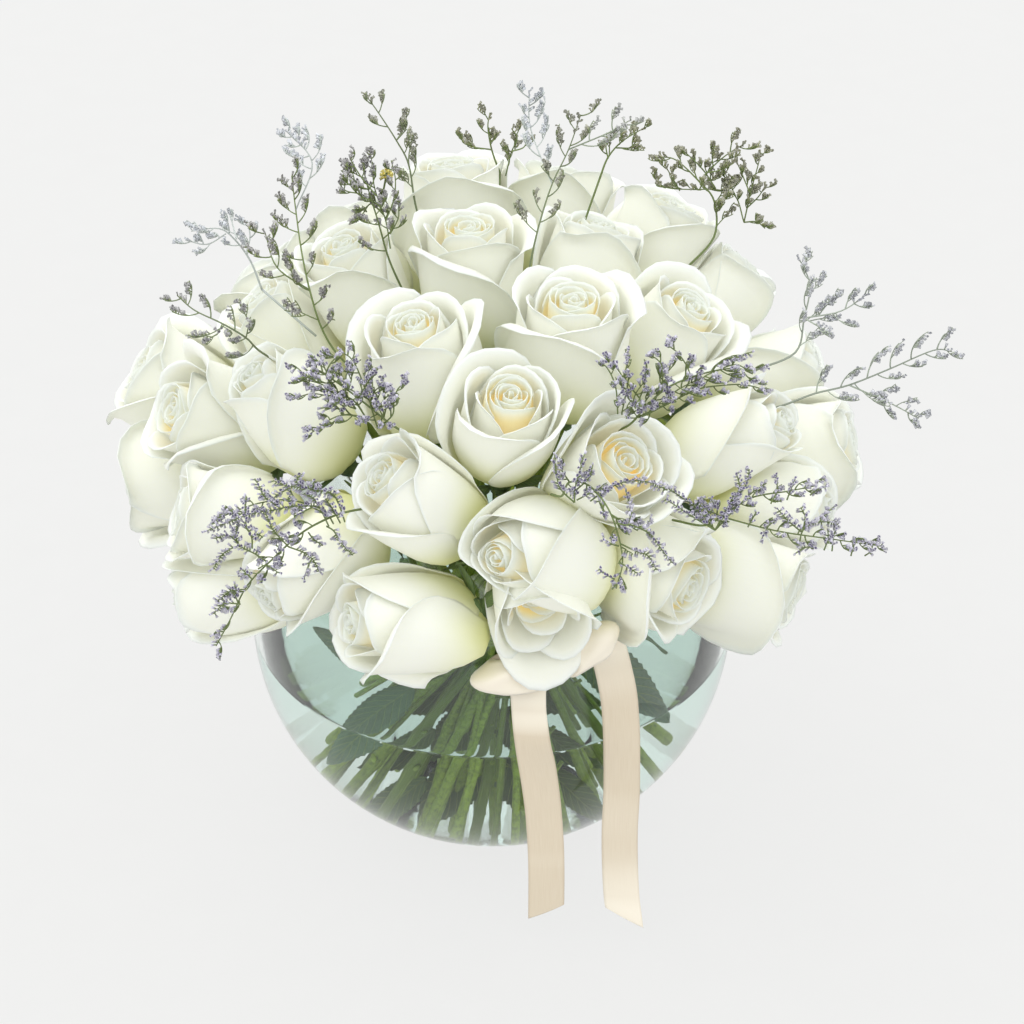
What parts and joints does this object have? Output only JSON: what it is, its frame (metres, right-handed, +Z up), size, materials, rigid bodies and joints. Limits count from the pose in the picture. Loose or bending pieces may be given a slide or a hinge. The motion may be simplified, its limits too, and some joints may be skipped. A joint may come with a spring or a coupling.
{
  "type": "rose bouquet in glass bowl",
  "caption": "Domed bunch of white roses and sea lavender on spiralled stems in a clear round glass bowl of water, with a satin ribbon bow whose tails hang to the table.",
  "frame": {"origin": "centre of the flat foot under the glass bowl, on the table", "axes": "+Z up; the ribbon's side faces -Y and is the front; +X is to the right seen from the front"},
  "size_m": [0.4238, 0.3695, 0.3885],
  "materials": {
    "clear_glass": "clear polished glass",
    "water": "clear water",
    "rose_petal": "soft satin petal",
    "rose_stem": "smooth waxy green stem",
    "sea_lavender": "dry papery calyces on wiry stalks",
    "satin_ribbon": "satin weave"
  },
  "bodies": {
    "root": {"glass_bowl": "clear_glass", "limonium_arching": "sea_lavender", "limonium_back_left": "sea_lavender", "limonium_back_right": "sea_lavender", "limonium_far_left": "sea_lavender", "limonium_far_right": "sea_lavender", "limonium_front_left": "sea_lavender", "limonium_front_right": "sea_lavender", "limonium_left_low": "sea_lavender", "limonium_left_tall": "sea_lavender", "limonium_right_high": "sea_lavender", "limonium_right_low": "sea_lavender", "limonium_top": "sea_lavender", "limonium_top_left": "sea_lavender", "ribbon_bow": "satin_ribbon", "ribbon_tail_left": "satin_ribbon", "ribbon_tail_right": "satin_ribbon", "rose_01": "rose_petal", "rose_02": "rose_petal", "rose_03": "rose_petal", "rose_04": "rose_petal", "rose_05": "rose_petal", "rose_06": "rose_petal", "rose_07": "rose_petal", "rose_08": "rose_petal", "rose_09": "rose_petal", "rose_10": "rose_petal", "rose_11": "rose_petal", "rose_12": "rose_petal", "rose_13": "rose_petal", "rose_14": "rose_petal", "rose_15": "rose_petal", "rose_16": "rose_petal", "rose_17": "rose_petal", "rose_18": "rose_petal", "rose_19": "rose_petal", "rose_20": "rose_petal", "rose_21": "rose_petal", "rose_22": "rose_petal", "rose_23": "rose_petal", "rose_24": "rose_petal", "rose_25": "rose_petal", "rose_26": "rose_petal", "rose_27": "rose_petal", "rose_28": "rose_petal", "rose_29": "rose_petal", "rose_30": "rose_petal", "rose_31": "rose_petal", "rose_32": "rose_petal", "rose_33": "rose_petal", "rose_34": "rose_petal", "rose_35": "rose_petal", "rose_36": "rose_petal", "rose_37": "rose_petal", "rose_38": "rose_petal", "rose_39": "rose_petal", "rose_40": "rose_petal", "rose_41": "rose_petal", "rose_stems": "rose_stem", "water": "water"}
  },
  "joints": []
}
